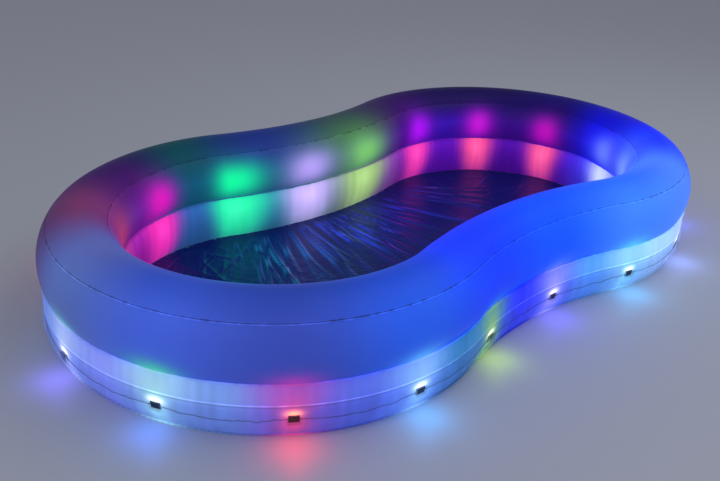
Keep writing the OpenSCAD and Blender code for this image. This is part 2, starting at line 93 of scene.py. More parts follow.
waistRun = waistRunRadius * (math.pi - 2 * tangentAngle)
wholeRun = 2 * (lobeRun + waistRun)


def alongRing(run):
    # centre line point and outward side for each run, anticlockwise from the front end of the right-hand arc
    run = np.mod(np.asarray(run, float), wholeRun)
    legs = [run < lobeRun, run < lobeRun + waistRun, run < 2 * lobeRun + waistRun]
    angle = np.select(legs, [
        tangentAngle - math.pi + run / runRadius,
        -tangentAngle - (run - lobeRun) / waistRunRadius,
        tangentAngle + (run - lobeRun - waistRun) / runRadius,
    ], math.pi - tangentAngle - (run - 2 * lobeRun - waistRun) / waistRunRadius)
    midX = np.select(legs, [lobeCentre, 0.0, -lobeCentre], 0.0)
    midY = np.select(legs, [0.0, waistCentre, 0.0], -waistCentre)
    radius = np.select(legs, [lobeRadius, ring["waistRadius"], lobeRadius], ring["waistRadius"])
    sense = np.select(legs, [1.0, -1.0, 1.0], -1.0)
    x, y = midX + radius * np.cos(angle), midY + radius * np.sin(angle)
    return x, y, sense * np.cos(angle), sense * np.sin(angle), sense


def runOf(node):
    # where along the wall a CAD piece sits
    low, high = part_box(node)
    spots = np.linspace(0, wholeRun, 9000, endpoint=False)
    x, y, sideX, sideY, _ = alongRing(spots)
    away = np.hypot(x + sideX * 0.11 - (low.x + high.x) / 2, y + sideY * 0.11 - (low.y + high.y) / 2)
    return spots[int(np.argmin(away))]


stations = {"crown": 1000, "fine": 1700}


def wave(run, seed, lowest, highest, count):
    # smooth unevenness that closes on itself round the ring, about -1 to 1
    chance = np.random.default_rng(seed)
    total = np.zeros_like(run)
    for _ in range(count):
        turns = chance.integers(lowest, highest + 1)
        total += chance.uniform(0.4, 1) * np.sin(2 * math.pi * turns * run / wholeRun + chance.uniform(0, 6.28))
    return total / math.sqrt(count)


def puckers(run, seed, spacing, width):
    # narrow gathers at uneven spacing, about -1 to 1
    chance = np.random.default_rng(seed)
    total, spot = np.zeros_like(run), 0.0
    while spot < wholeRun - spacing * 0.5:
        wide = width * chance.uniform(0.6, 1.6)
        gap = np.abs(np.mod(run - spot + wholeRun / 2, wholeRun) - wholeRun / 2)
        total += chance.uniform(-1, 0.6) * np.exp(-(gap / wide) ** 2)
        spot += spacing * chance.uniform(0.5, 1.5)
    return total


def bump(x, middle, width, power=2.0):
    return np.exp(-np.abs((x - middle) / width) ** power)


def runGap(run, spot):
    return np.mod(run - spot + wholeRun / 2, wholeRun) - wholeRun / 2


# screen colours of the lit film, lamp 1 first, going round with the run
lampHues = [
    (214, 226, 255), (190, 255, 232), (255, 84, 150), (176, 226, 255), (196, 240, 70), (214, 204, 255),
    (150, 226, 255), (226, 236, 255), (130, 150, 255), (196, 206, 255), (255, 66, 140), (255, 62, 148),
    (255, 56, 170), (248, 60, 190), (176, 214, 84), (214, 168, 255), (40, 255, 156), (255, 52, 160),
]
creaseHues = [  # what each lamp throws on the upper ring just above the crease
    (96, 190, 190), (70, 214, 150), (196, 60, 176), (96, 190, 250), (40, 140, 220), (110, 130, 252),
    (90, 210, 252), (130, 190, 252), (90, 120, 252), (90, 90, 240), (150, 20, 120), (150, 20, 120),
    (150, 20, 140), (130, 30, 130), (90, 130, 60), (120, 90, 160), (10, 150, 110), (150, 30, 120),
]
crownWash = [  # outer side, top and inner side of the upper ring by each lamp, the power box last
    ((80, 102, 170), (78, 88, 154), (70, 88, 160)), ((62, 90, 200), (42, 70, 172), (56, 74, 160)),
    ((54, 72, 170), (34, 58, 146), (50, 66, 150)), ((40, 90, 224), (26, 64, 180), (36, 64, 180)),
    ((24, 62, 246), (16, 52, 250), (30, 54, 240)), ((22, 84, 252), (8, 72, 252), (30, 46, 206)),
    ((66, 132, 252), (34, 98, 252), (54, 104, 250)), ((76, 130, 252), (64, 114, 252), (68, 120, 252)),
    ((34, 76, 252), (8, 40, 252), (50, 80, 252)), ((8, 8, 168), (4, 8, 168), (10, 10, 200)),
    ((12, 6, 82), (12, 4, 84), (24, 4, 80)), ((14, 4, 60), (14, 4, 58), (20, 4, 74)),
    ((14, 4, 60), (14, 4, 58), (26, 5, 76)), ((30, 8, 64), (34, 8, 68), (52, 8, 92)),
    ((42, 62, 60), (40, 60, 64), (60, 104, 64)), ((22, 34, 110), (18, 36, 104), (28, 46, 116)),
    ((2, 52, 58), (4, 54, 62), (6, 64, 76)), ((36, 8, 62), (40, 8, 74), (64, 16, 92)),
    ((62, 34, 84), (100, 40, 84), (106, 42, 106)),
]
innerWash = [  # upper and lower inner walls between the glow spots
    ((70, 84, 160), (120, 140, 220)), ((60, 70, 160), (110, 130, 220)), ((60, 60, 160), (120, 90, 200)),
    ((44, 70, 190), (90, 110, 230)), ((30, 60, 240), (80, 120, 240)), ((34, 50, 210), (90, 110, 240)),
    ((58, 108, 250), (140, 170, 250)), ((74, 124, 252), (150, 180, 250)), ((60, 90, 250), (110, 130, 250)),
    ((20, 24, 210), (62, 60, 240)), ((50, 8, 116), (84, 12, 170)), ((50, 8, 116), (76, 12, 150)),
    ((52, 14, 150), (90, 14, 170)), ((66, 14, 124), (130, 40, 160)), ((66, 104, 96), (122, 136, 140)),
    ((28, 60, 110), (40, 110, 150)), ((14, 80, 104), (44, 96, 160)), ((96, 22, 134), (160, 30, 160)),
    ((110, 40, 110), (150, 50, 140)),
]
bandWash = [  # outer side of the lower ring, at each lamp and half way to the next
    (124, 152, 224), (126, 140, 230), (134, 176, 226), (112, 144, 216), (134, 80, 200), (84, 104, 218),
    (106, 156, 244), (44, 116, 178), (54, 120, 172), (34, 46, 246), (92, 104, 250), (84, 158, 246),
    (150, 214, 250), (168, 214, 252), (150, 190, 250), (130, 160, 250), (110, 130, 250), (100, 110, 250),
    (120, 120, 240), (120, 80, 210), (180, 64, 160), (150, 54, 170), (190, 64, 160), (150, 54, 170),
    (180, 60, 170), (150, 60, 170), (170, 80, 180), (130, 110, 160), (140, 170, 110), (130, 150, 170),
    (170, 150, 220), (90, 160, 180), (76, 196, 160), (120, 100, 170), (190, 66, 160), (150, 74, 160),
    (104, 96, 170), (98, 130, 206),
]
innerSpots = [  # run, upper wall colour, lower wall colour, half width
    (0.76, (110, 150, 253), (170, 196, 253), 0.10), (1.054, (96, 120, 252), (186, 200, 253), 0.105),
    (1.545, (184, 14, 170), (254, 84, 142), 0.094), (2.006, (190, 20, 190), (254, 78, 140), 0.094),
    (2.479, (170, 16, 222), (252, 58, 164), 0.094), (2.909, (116, 190, 96), (160, 200, 108), 0.095),
    (3.169, (180, 156, 226), (200, 176, 232), 0.088), (3.442, (20, 250, 150), (40, 250, 160), 0.100),
    (3.897, (222, 24, 176), (250, 44, 170), 0.104), (4.363, (150, 44, 90), (190, 60, 110), 0.12),
]
lampRuns = [runOf(f"light_{i + 1}") for i in range(ring["lamps"])]
lampPitch = np.mod(lampRuns[1] - lampRuns[0], wholeRun)
lampHeight = (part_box("light_1")[0].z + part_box("light_1")[1].z) / 2


def washAt(keys, run, steps=1):
    # colours blended smoothly from key to key, the first key at lamp 1
    keys = np.array(keys, float)
    place = np.mod(run - lampRuns[0], wholeRun) / wholeRun * 19 * steps
    first = np.floor(place).astype(int) % len(keys)
    share = (place - np.floor(place))
    share = (share * share * (3 - 2 * share))[:, None]
    return keys[first] * (1 - share) + keys[(first + 1) % len(keys)] * share


def toLight(colour):
    # screen colour, 0 to 255, to linear light
    c = np.clip(np.asarray(colour, float) / 255, 0, 1.6)
    return np.where(c <= 0.04045, c / 12.92, ((c + 0.055) / 1.055) ** 2.4)


def mixTo(base, colour, share):
    share = share[..., None]
    return base * (1 - share) + np.asarray(colour, float) * share


def gridMesh(name, points, closedRound=True, keep=None):
    n, m = points.shape[:2]
    rows = np.arange(n if closedRound else n - 1)
    cols = np.arange(m - 1)
    a = (rows[:, None] * m + cols[None]).ravel()
    b = (((rows + 1) % n)[:, None] * m + cols[None]).ravel()
    quads = np.stack([a, a + 1, b + 1, b], 1)
    if keep is not None:
        quads = quads[keep[quads].all(1)]
    mesh = bpy.data.meshes.new(name)
    mesh.vertices.add(n * m)
    mesh.vertices.foreach_set("co", points.reshape(-1))
    mesh.loops.add(quads.size)
    mesh.loops.foreach_set("vertex_index", quads.reshape(-1).astype(np.int32))
    mesh.polygons.add(len(quads))
    mesh.polygons.foreach_set("loop_start", np.arange(0, quads.size, 4, dtype=np.int32))
    mesh.update(calc_edges=True)
    mesh.validate()
    mesh.polygons.foreach_set("use_smooth", np.ones(len(mesh.polygons), bool))
    return mesh


def addPiece(name, mesh, material, body="pool", stands=()):
    piece = bpy.data.objects.new(name, mesh)
    bpy.context.collection.objects.link(piece)
    mesh.materials.append(material)
    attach(piece, body)
    if stands:
        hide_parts(*stands)
    return piece


def paint(mesh, name, colours):
    layer = mesh.color_attributes.new(name, "FLOAT_COLOR", "POINT")
    flat = np.ones((len(mesh.vertices), 4), np.float32)
    flat[:, :3] = colours.reshape(-1, 3)
    layer.data.foreach_set("color", flat.reshape(-1))


def sweep(run, section, swell):
    # section: rows of offset, height and the skin's outward side; swell: how far each point stands off
    x, y, sideX, sideY, _ = alongRing(run)
    offset = section[None, :, 0] + swell * section[None, :, 2]
    height = section[None, :, 1] + swell * section[None, :, 3]
    return np.stack([x[:, None] + sideX[:, None] * offset, y[:, None] + sideY[:, None] * offset, height], 2)


def newMaterial(name):
    material = bpy.data.materials.new(name)
    material.use_nodes = True
    tree = material.node_tree
    shader = tree.nodes["Principled BSDF"]
    return material, tree, shader


def glowOf(tree):
    glow = tree.nodes.new("ShaderNodeAttribute")
    glow.attribute_name = "glow"
    return glow.outputs["Color"]


def ripple(tree, scale, detail=3.0, stretch=(1, 1, 1), rough=0.5):
    spots = tree.nodes.new("ShaderNodeTexCoord")
    mapping = tree.nodes.new("ShaderNodeMapping")
    mapping.inputs["Scale"].default_value = stretch
    tree.links.new(spots.outputs["Object"], mapping.inputs["Vector"])
    noise = tree.nodes.new("ShaderNodeTexNoise")
    noise.inputs["Scale"].default_value = scale
    noise.inputs["Detail"].default_value = detail
    noise.inputs["Roughness"].default_value = rough
    tree.links.new(mapping.outputs["Vector"], noise.inputs["Vector"])
    return noise.outputs["Fac"]


def ramp(tree, value, low, high, outLow, outHigh):
    made = tree.nodes.new("ShaderNodeMapRange")
    for socket, number in zip(("From Min", "From Max", "To Min", "To Max"), (low, high, outLow, outHigh)):
        made.inputs[socket].default_value = number
    tree.links.new(value, made.inputs["Value"])
    return made.outputs["Result"]


def addBump(tree, shader, heights):
    # each height: output, strength, distance in metres
    last = None
    for height, strength, distance in heights:
        made = tree.nodes.new("ShaderNodeBump")
        made.inputs["Strength"].default_value = strength
        made.inputs["Distance"].default_value = distance
        tree.links.new(height, made.inputs["Height"])
        if last:
            tree.links.new(last, made.inputs["Normal"])
        last = made.outputs["Normal"]
    tree.links.new(last, shader.inputs["Normal"])


def litFilm(name, finish):
    # film lit from within: the painted glow shines, and a darker share of it takes the room's light
    material, tree, shader = newMaterial(name)
    cloud = ripple(tree, finish["cloudScale"], 3, finish.get("cloudStretch", (1, 1, 1)))
    patch = tree.nodes.new("ShaderNodeMix")
    patch.data_type, patch.blend_type = "RGBA", "MULTIPLY"
    patch.inputs["Factor"].default_value = 1
    tree.links.new(glowOf(tree), patch.inputs["A"])
    tree.links.new(ramp(tree, cloud, 0.3, 0.7, 1 - finish["cloud"], 1 + finish["cloud"]), patch.inputs["B"])
    body = tree.nodes.new("ShaderNodeMix")
    body.data_type, body.blend_type = "RGBA", "MIX"
    body.inputs["Factor"].default_value = finish["haze"]
    body.inputs["B"].default_value = (*finish["hazeColour"], 1)
    tree.links.new(patch.outputs["Result"], body.inputs["A"])
    tree.links.new(body.outputs["Result"], shader.inputs["Base Color"])
    tree.links.new(patch.outputs["Result"], shader.inputs["Emission Color"])
    shader.inputs["Emission Strength"].default_value = finish["shine"]
    fine = ripple(tree, finish["grainScale"], 2)
    rough = ramp(tree, cloud, 0.3, 0.7, finish["rough"] - 0.05, finish["rough"] + 0.06)
    tree.links.new(rough, shader.inputs["Roughness"])
    shader.inputs["Specular IOR Level"].default_value = finish["specular"]
    dents = ripple(tree, finish["dentScale"], 3, finish.get("dentStretch", (1, 1, 1)))
    addBump(tree, shader, [(dents, finish["dent"], 0.004), (fine, 0.06, 0.0005)])
    if "alpha" in finish:
        shader.inputs["Alpha"].default_value = finish["alpha"]
    return material


filmFinish = {
    "crown": {"cloudScale": 3.5, "cloud": 0.07, "haze": 0.02, "hazeColour": (0.30, 0.32, 0.42), "shine": 0.72,
              "grainScale": 240, "rough": 0.42, "specular": 0.07, "dentScale": 7, "dent": 0.2},
    "inner": {"cloudScale": 9, "cloud": 0.07, "cloudStretch": (1, 1, 0.4), "haze": 0.01,
              "hazeColour": (0.3, 0.3, 0.4), "shine": 0.86, "grainScale": 240, "rough": 0.40, "specular": 0.14,
              "dentScale": 16, "dent": 0.25, "dentStretch": (1, 1, 0.3)},
    "band": {"cloudScale": 14, "cloud": 0.06, "cloudStretch": (1, 1, 0.5), "haze": 0.03,
             "hazeColour": (0.5, 0.52, 0.6), "shine": 0.70, "grainScale": 260, "rough": 0.36, "specular": 0.2,
             "dentScale": 24, "dent": 0.3, "dentStretch": (1, 1, 0.3)},
}
crownFilm = litFilm("crownFilm", filmFinish["crown"])
innerFilm = litFilm("innerFilm", filmFinish["inner"])
bandFilm = litFilm("bandFilm", filmFinish["band"])
print("film materials made")


def arcSection(middle, lift, radius, start, stop, count, flip=1.0):
    angle = np.radians(np.linspace(start, stop, count))
    outward, upward = np.cos(angle), np.sin(angle)
    return np.stack([flip * (middle + radius * outward), lift + radius * upward, flip * outward, upward], 1)


lowAngle = -math.degrees(math.asin((upperMid - creaseHeight - ring["film"]) / sideRadius))


def upperColour(run, share, inner):
    # share: 0 at the outer crease, 0.5 on top, 1 at the inner crease
    side, top, inside = (washAt([key[i] for key in crownWash], run) for i in range(3))
    deep = washAt([key[0] for key in innerWash], run)
    keyPlaces = np.array([0.0, 0.30, 0.5, 0.68, 0.84, 1.0])
    tracks = np.stack([side * 0.94, side, top, inside, deep, deep * 0.86], 0)
    level = np.interp(share, keyPlaces, np.arange(6))
    first = np.clip(np.floor(level).astype(int), 0, 4)
    part = (level - first)[None, :, None]
    colour = tracks[first].transpose(1, 0, 2) * (1 - part) + tracks[first + 1].transpose(1, 0, 2) * part
    for i, spot in enumerate(lampRuns):  # the lamps also light the film just above the crease
        near = bump(runGap(run, spot), 0, 0.075)[:, None] * bump(share, 0, 0.075)[None, :] * 0.72
        colour = mixTo(colour, np.array(creaseHues[i]), near)
    if inner:
        for spot, upper, _, half in innerSpots:
            near = bump(runGap(run, spot), 0, half * 1.12, 2.1)[:, None]
            near = near * bump(share, 0.87, 0.145, 2.3)[None, :]
            colour = mixTo(colour, upper, near * 0.97)
    return colour


def makeUpperRing():
    run = np.linspace(0, wholeRun, stations["crown"], endpoint=False)
    gathers = puckers(run, 11, 0.034, 0.006)[:, None]
    gathersIn = puckers(run, 12, 0.030, 0.006)[:, None]
    slack = wave(run, 3, 3, 14, 6)[:, None]
    bend = alongRing(run)[4]
    inBend, outBend = np.clip(bend, 0, 1), np.clip(-bend, 0, 1)
    # crown panel
    edge = ring["seamAngle"]
    section = arcSection(0, upperMid + crownLift, crownRadius, edge, 180 - edge, 56)
    across = np.linspace(0, 1, 56)[None]
    edgeFade = np.exp(-across / 0.10), np.exp(-(1 - across) / 0.10)
    swell = -0.0006 + 0.0009 * gathers * edgeFade[0] + 0.0010 * gathersIn * edgeFade[1] + 0.0006 * slack
    swell = swell - 0.0015 * (np.exp(-across / 0.035) + np.exp(-(1 - across) / 0.035))
    mesh = gridMesh("crownPanel", sweep(run, section, swell))
    share = 0.33 + 0.34 * across[0]
    paint(mesh, "glow", toLight(upperColour(run, share, True)))
    addPiece("crownPanel", mesh, crownFilm, stands=["top_panel"])
    # outer and inner side walls
    for name, cadNode, flip, material, seed in (
            ("upperOutside", "upper_outer_wall", 1, crownFilm, 21),
            ("upperInside", "upper_inner_wall", -1, innerFilm, 22)):
        rise = np.linspace(0, 1, 46)
        section = arcSection(-sideShift, upperMid, sideRadius, lowAngle, edge, 46, flip)
        creased = puckers(run, seed, 0.026, 0.007)[:, None] * np.exp(-rise / 0.16)[None]
        seamGathers = (gathers if flip > 0 else gathersIn) * np.exp(-(1 - rise) / 0.12)[None]
        tight = (outBend if flip > 0 else inBend)[:, None]
        swell = -0.0007 + creased * (0.0010 + 0.0016 * tight) + 0.0010 * seamGathers + 0.0006 * slack
        swell = swell - 0.0015 * np.exp(-(1 - rise) / 0.03)[None]
        swell = swell - 0.0006 * wave(run, seed + 4, 30, 80, 8)[:, None] * bump(rise, 0.2, 0.3)[None] * tight
        share = 0.33 * rise if flip > 0 else 1 - 0.33 * rise
        points = sweep(run, section, swell)
        keep = clearOf(points, "upper_valve_base", ring["valveHole"])
        mesh = gridMesh(name, points, keep=keep)
        paint(mesh, "glow", toLight(upperColour(run, share, flip < 0)))
        addPiece(name, mesh, material, stands=[cadNode])


def clearOf(points, cadNode, reach):
    # leaves the film open under a fitting
    low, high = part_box(cadNode)
    middle = np.array([(low[i] + high[i]) / 2 for i in range(3)])
    return np.linalg.norm(points.reshape(-1, 3) - middle, axis=1) > reach


makeUpperRing()
print("upper ring made")

# the laps welded along the crown seams
weld = {"width": 0.011, "sunk": 0.0010, "gather": 0.0004}


def makeSeamWelds():
    run = np.linspace(0, wholeRun, stations["fine"], endpoint=False)
    for name, flip, seed in (("outerSeamWeld", 1, 31), ("innerSeamWeld", -1, 32)):
        angles = math.radians(ring["seamAngle"]) + np.linspace(-0.5, 0.5, 9) * weld["width"] / sideRadius
        rows = []
        for angle in angles:
            if angle < seam:
                offset = -sideShift + sideRadius * math.cos(angle)
                height = upperMid + sideRadius * math.sin(angle)
            else:
                offset = crownRadius * math.cos(angle)
                height = upperMid + crownLift + crownRadius * math.sin(angle)
            rows.append((flip * offset, height, flip * math.cos(angle), math.sin(angle)))
        section = np.array(rows)
        lap = np.array([-0.0014, 0.0002, 0.0007, 0.0009, 0.0001, -0.0006, 0.0004, 0.0002, -0.0016])[None]
        ends = np.array([0.3, 1, 1, 0.8, 0.3, 0.8, 1, 1, 0.3])[None]
        gather = puckers(run, seed, 0.016, 0.004)[:, None] * ends * weld["gather"]
        mesh = gridMesh(name, sweep(run, section, lap - weld["sunk"] + gather))
        share = 0.33 if flip > 0 else 0.67
        colour = upperColour(run, np.array([share]), True)
        # across the lap: the brighter rows are a painted highlight along the weld, the darker rows the weld's own
        # darker line
        weldGlintAndDarkLine = np.array([1.0, 1.10, 1.20, 1.08, 0.54, 0.64, 1.02, 1.0, 1.0])[None, :, None]
        flicker = 1 + 0.22 * puckers(run, seed + 5, 0.02, 0.006)[:, None, None]
        paint(mesh, "glow", toLight(colour * weldGlintAndDarkLine * flicker + 4))
        addPiece(name, mesh, crownFilm)


makeSeamWelds()
print("seam welds made")


def lowerOffset(height):
    return np.sqrt(ring["lowerRadius"] ** 2 - (height - ring["lowerMid"]) ** 2) - lowerShift


def bandColour(run, height, cores=True):
    base = washAt(bandWash, run, 2)[:, None, :] * np.ones((1, len(height), 1))
    rise = height / creaseHeight
    shade = np.interp(rise, [0, 0.25, 0.52, 0.62, 0.8, 0.95, 1.0], [0.78, 0.86, 0.92, 1.0, 1.02, 1.0, 0.94])
    colour = base * shade[None, :, None]
    depth = np.interp(rise, [0, 0.5, 0.7], [0.22, 0.14, 0.0])[None]
    colour = mixTo(colour, (54, 84, 232), np.ones(colour.shape[:2]) * depth)
    streaks = wave(run, 55, 90, 240, 16)[:, None, None]
    colour = colour * (1 + 0.018 * streaks)
    for i, spot in enumerate(lampRuns):
        gap = runGap(run, spot)[:, None]
        hue = np.array(lampHues[i], float)
        fanWidth = (0.030 + 0.55 * np.clip(height - lampHeight, 0, 1))[None]
        fanPlaces = [lampHeight - 0.04, lampHeight, lampHeight + 0.03, creaseHeight]
        fan = np.exp(-(gap / fanWidth) ** 2) * np.interp(height, fanPlaces, [0.0, 0.72, 0.60, 0.24])[None]
        colour = mixTo(colour, hue * 0.95, fan)
        skirt = np.exp(-(gap / 0.045) ** 2) * bump(height, lampHeight - 0.03, 0.035)[None] * 0.62
        colour = mixTo(colour, hue * 0.86, skirt)
        if cores:
            core = np.exp(-(gap / 0.024) ** 2) * bump(height, lampHeight + 0.016, 0.012)[None]
            colour = mixTo(colour, (360, 350, 360) if i != 2 else (370, 260, 190), np.clip(core * 1.15, 0, 1))
        else:  # the sleeve goes dark where it lies on a module's black back
            cover = bump(gap, 0, 0.0185, 8) * bump(height, lampHeight, 0.0150, 8)[None]
            colour = mixTo(colour, (3, 3, 6), np.clip(cover, 0, 1))
    return colour


def innerLowerColour(run, height):
    colour = washAt([key[1] for key in innerWash], run)[:, None, :] * np.ones((1, len(height), 1))
    rise = height / creaseHeight
    colour = colour * np.interp(rise, [0, 0.5, 0.9, 1], [0.74, 0.86, 1.0, 0.9])[None, :, None]
    streaks = wave(run, 61, 60, 200, 14)[:, None, None]
    colour = colour * (1 + 0.025 * streaks)
    for spot, _, lower, half in innerSpots:
        lean = 0.012 * np.sin(spot * 9)
        gap = runGap(run, spot)[:, None] - lean * (1 - rise)[None]
        wide = half * np.interp(rise, [0, 0.4, 0.8, 1], [0.92, 1.1, 1.26, 1.28])[None]
        fade = np.interp(rise, [0, 0.3, 0.75, 1], [0.60, 0.84, 1.0, 0.96])[None]
        near = np.exp(-np.abs(gap / wide) ** 2.8) * fade
        colour = mixTo(colour, np.array(lower) * (1 + 0.025 * streaks), np.clip(near, 0, 1))
        hot = np.exp(-(gap / (half * 0.42)) ** 2) * bump(rise, 0.72, 0.26)[None] * 0.34
        colour = mixTo(colour, np.minimum(np.array(lower) + 50, 262), hot)
    return colour


def makeLowerRing():
    run = np.linspace(0, wholeRun, stations["fine"], endpoint=False)
    bend = alongRing(run)[4]
    for name, cadNode, flip, material, seed in (
            ("lowerOutside", "lower_outer_wall", 1, bandFilm, 41),
            ("lowerInside", "lower_inner_wall", -1, innerFilm, 42)):
        height = np.linspace(0.0022, creaseHeight - ring["film"], 44)
        offset = lowerOffset(height)
        lean = (height - ring["lowerMid"]) / ring["lowerRadius"]
        section = np.stack([flip * offset, height, flip * np.sqrt(1 - lean ** 2), lean], 1)
        rise = height / creaseHeight
        tight = np.clip(-flip * bend, 0, 1)[:, None]
        top = puckers(run, seed, 0.028, 0.007)[:, None] * np.exp(-(1 - rise) / 0.14)[None]
        foot = puckers(run, seed + 1, 0.024, 0.006)[:, None] * np.exp(-rise / 0.14)[None]
        swell = -0.0008 + top * (0.0011 + 0.0014 * tight) + foot * 0.0012
        swell = swell + 0.0007 * wave(run, seed + 2, 5, 24, 6)[:, None]
        swell = swell + 0.0005 * wave(run, seed + 3, 60, 150, 10)[:, None] * (0.4 + tight)
        points = sweep(run, section, swell)
        keep = clearOf(points, "lower_valve_base", ring["valveHole"])
        mesh = gridMesh(name, points, keep=keep)
        colour = bandColour(run, height) if flip > 0 else innerLowerColour(run, height)
        paint(mesh, "glow", toLight(colour))
        addPiece(name, mesh, material, stands=[cadNode])


makeLowerRing()
print("lower ring made")

# the welded fins at the crease and on the ground
fins = {"scallop": 0.019, "depth": 0.0022, "creaseScallop": 0.021, "creaseDepth": 0.0014, "sag": 0.004}


def makeFins():
    run = np.linspace(0, wholeRun, stations["fine"], endpoint=False)
    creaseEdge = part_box("upper_outer_wall")[1].y  # only for the reach of the crease flange
    creaseHalf = math.sqrt(sideRadius ** 2 - ring["upperDrop"] ** 2) - sideShift
    reach = min(creaseHalf + ring["finWidth"], creaseEdge - lobeRadius - 0.0005)
    across = np.concatenate([np.linspace(-1, -0.93, 6), np.linspace(-0.9, 0.9, 22), np.linspace(0.93, 1, 6)])
    flatness = 1 - across ** 2
    chance = wave(run, 71, 40, 90, 10)[:, None]
    ruffle = puckers(run, 72, 0.03, 0.009)[:, None]
    sideEdge = np.abs(across)[None] ** 30
    points = np.zeros((len(run), len(across), 3))
    x, y, sideX, sideY, _ = alongRing(run)
    scallop = np.abs(np.sin(math.pi * run / fins["creaseScallop"]))[:, None]
    offset = across[None] * reach - np.sign(across)[None] * sideEdge * fins["creaseDepth"] * scallop
    points[..., 0] = x[:, None] + sideX[:, None] * offset
    points[..., 1] = y[:, None] + sideY[:, None] * offset
    sag = (0.001 * chance - fins["sag"]) * flatness[None]
    points[..., 2] = creaseHeight + sideEdge * 0.0012 * ruffle + sag
    mesh = gridMesh("creaseMembrane", points)
    outer = washAt(bandWash, run, 2)[:, None, :] * 1.02
    inner = washAt([key[1] for key in innerWash], run)[:, None, :] * 0.8
    colour = np.where(across[None, :, None] > 0, outer, inner * 1.2) * (1 + 0.08 * ruffle[..., None])
    for i, spot in enumerate(lampRuns):
        near = bump(runGap(run, spot), 0, 0.07)[:, None] * np.clip(across, 0, 1)[None] * 0.6
        colour = mixTo(colour, np.array(lampHues[i]) * 0.85, near)
    paint(mesh, "glow", toLight(colour))
    addPiece("creaseMembrane", mesh, bandFilm, stands=["ring_diaphragm"])
    # ground band, its edge cut in shallow scallops
    footHalf = float(lowerOffset(np.array(0.0)))
    edge = footHalf + ring["finWidth"]
    across = np.concatenate([np.linspace(-1, -0.9, 8), np.linspace(-0.85, 0.85, 14), np.linspace(0.9, 1, 8)])
    sideEdge = np.clip((np.abs(across) - 0.9) / 0.1, 0, 1)[None]
    lobes = np.abs(np.sin(math.pi * run / fins["scallop"]))[:, None]
    offset = across[None] * edge - np.sign(across)[None] * sideEdge * fins["depth"] * (1 - lobes ** 0.6)
    points = np.zeros((len(run), len(across), 3))
    points[..., 0] = x[:, None] + sideX[:, None] * offset
    points[..., 1] = y[:, None] + sideY[:, None] * offset
    points[..., 2] = 0.0008 + sideEdge * (0.0006 + 0.0016 * lobes * np.abs(ruffle))
    mesh = gridMesh("groundBand", points)
    shade = np.where(across > 0, 0.72, 0.55)[None, :, None] * (0.8 + 0.35 * lobes[..., None] * sideEdge[..., None])
    colour = washAt(bandWash, run, 2)[:, None, :] * shade
    for i, spot in enumerate(lampRuns):
        near = bump(runGap(run, spot), 0, 0.06)[:, None] * np.clip(across, 0, 1)[None] * 0.7
        colour = mixTo(colour, np.array(lampHues[i]) * 0.95, near)
    paint(mesh, "glow", toLight(colour))
    addPiece("groundBand", mesh, bandFilm, stands=["ring_base_band"])


makeFins()
print("fins made")

# the clear sleeve over the lamps
sleeve = {"top": 0.104, "foot": 0.003, "bulge": 0.016, "tab": 0.007}


def makeSleeve():
    run = np.linspace(0, wholeRun, stations["fine"], endpoint=False)
    topOffset = float(lowerOffset(np.array(sleeve["top"])))
    footOffset = float(lowerOffset(np.array(sleeve["foot"]))) + 0.002
    chord = math.hypot(topOffset - footOffset, sleeve["top"] - sleeve["foot"])
    radius = (chord ** 2 / 4 + sleeve["bulge"] ** 2) / (2 * sleeve["bulge"])
    outX, outZ = (sleeve["top"] - sleeve["foot"]) / chord, (footOffset - topOffset) / chord
    midX = (topOffset + footOffset) / 2 - outX * (radius - sleeve["bulge"])
    midZ = (sleeve["top"] + sleeve["foot"]) / 2 - outZ * (radius - sleeve["bulge"])
    low = math.atan2(sleeve["foot"] - midZ, footOffset - midX)
    high = math.atan2(sleeve["top"] - midZ, topOffset - midX)
    angle = np.linspace(low, high, 26)
    outward, upward = np.cos(angle), np.sin(angle)
    section = np.stack([midX + radius * outward, midZ + radius * upward, outward, upward], 1)
    tabZ = sleeve["top"] + np.linspace(0.001, sleeve["tab"], 5)
    tab = np.stack([lowerOffset(tabZ) + 0.0006, tabZ, np.ones(5), np.zeros(5)], 1)
    section = np.concatenate([section, tab])
    rise = np.concatenate([np.linspace(0, 1, 26), np.ones(5)])
    loose = np.sin(math.pi * rise)[None]
    folds = puckers(run, 81, 0.045, 0.011)[:, None] * 0.0030 + wave(run, 82, 30, 90, 10)[:, None] * 0.0010
    top = puckers(run, 83, 0.02, 0.005)[:, None] * np.exp(-(1 - rise) / 0.15)[None] * 0.0009
    foot = puckers(run, 84, 0.02, 0.006)[:, None] * np.exp(-rise / 0.2)[None] * 0.0014
    swell = folds * loose + top * (rise < 1)[None] + foot - 0.0012 * loose
    mesh = gridMesh("lampSleeve", sweep(run, section, swell))
    height = section[:, 1]
    colour = bandColour(run, height, cores=False)
    # a painted highlight along the welded tab, with painted shade just below it where the tab folds over
    seamHighlight = bump(height, sleeve["top"] + 0.005, 0.0022)[None, :, None]
    seamShade = bump(height, sleeve["top"] + 0.0005, 0.0026)[None, :, None]
    colour = colour * (1 - 0.42 * seamShade) + 95 * seamHighlight
    paint(mesh, "glow", toLight(colour * (0.95 + 0.12 * puckers(run, 85, 0.03, 0.012)[:, None, None])))
    piece = addPiece("lampSleeve", mesh, sleeveFilm, stands=["light_sleeve"])


sleeveFinish = {
    "cloudScale": 30, "cloud": 0.2, "cloudStretch": (1, 1, 0.3), "haze": 0.1, "hazeColour": (0.8, 0.84, 0.9),
    "shine": 0.7, "grainScale": 300, "rough": 0.24, "specular": 0.22, "dentScale": 30, "dent": 0.4,
    "dentStretch": (1, 1, 0.35), "alpha": 0.40,
}
sleeveFilm = litFilm("sleeveFilm", sleeveFinish)
makeSleeve()
print("sleeve made")

# the lamp lenses
lens = {"radius": 0.006, "sides": 20, "back": 0.0028, "dome": 0.0015, "shine": 2.2,
        "profile": ((1.0, 0.0), (0.97, 0.35), (0.8, 0.72), (0.5, 0.93), (0.2, 1.0))}


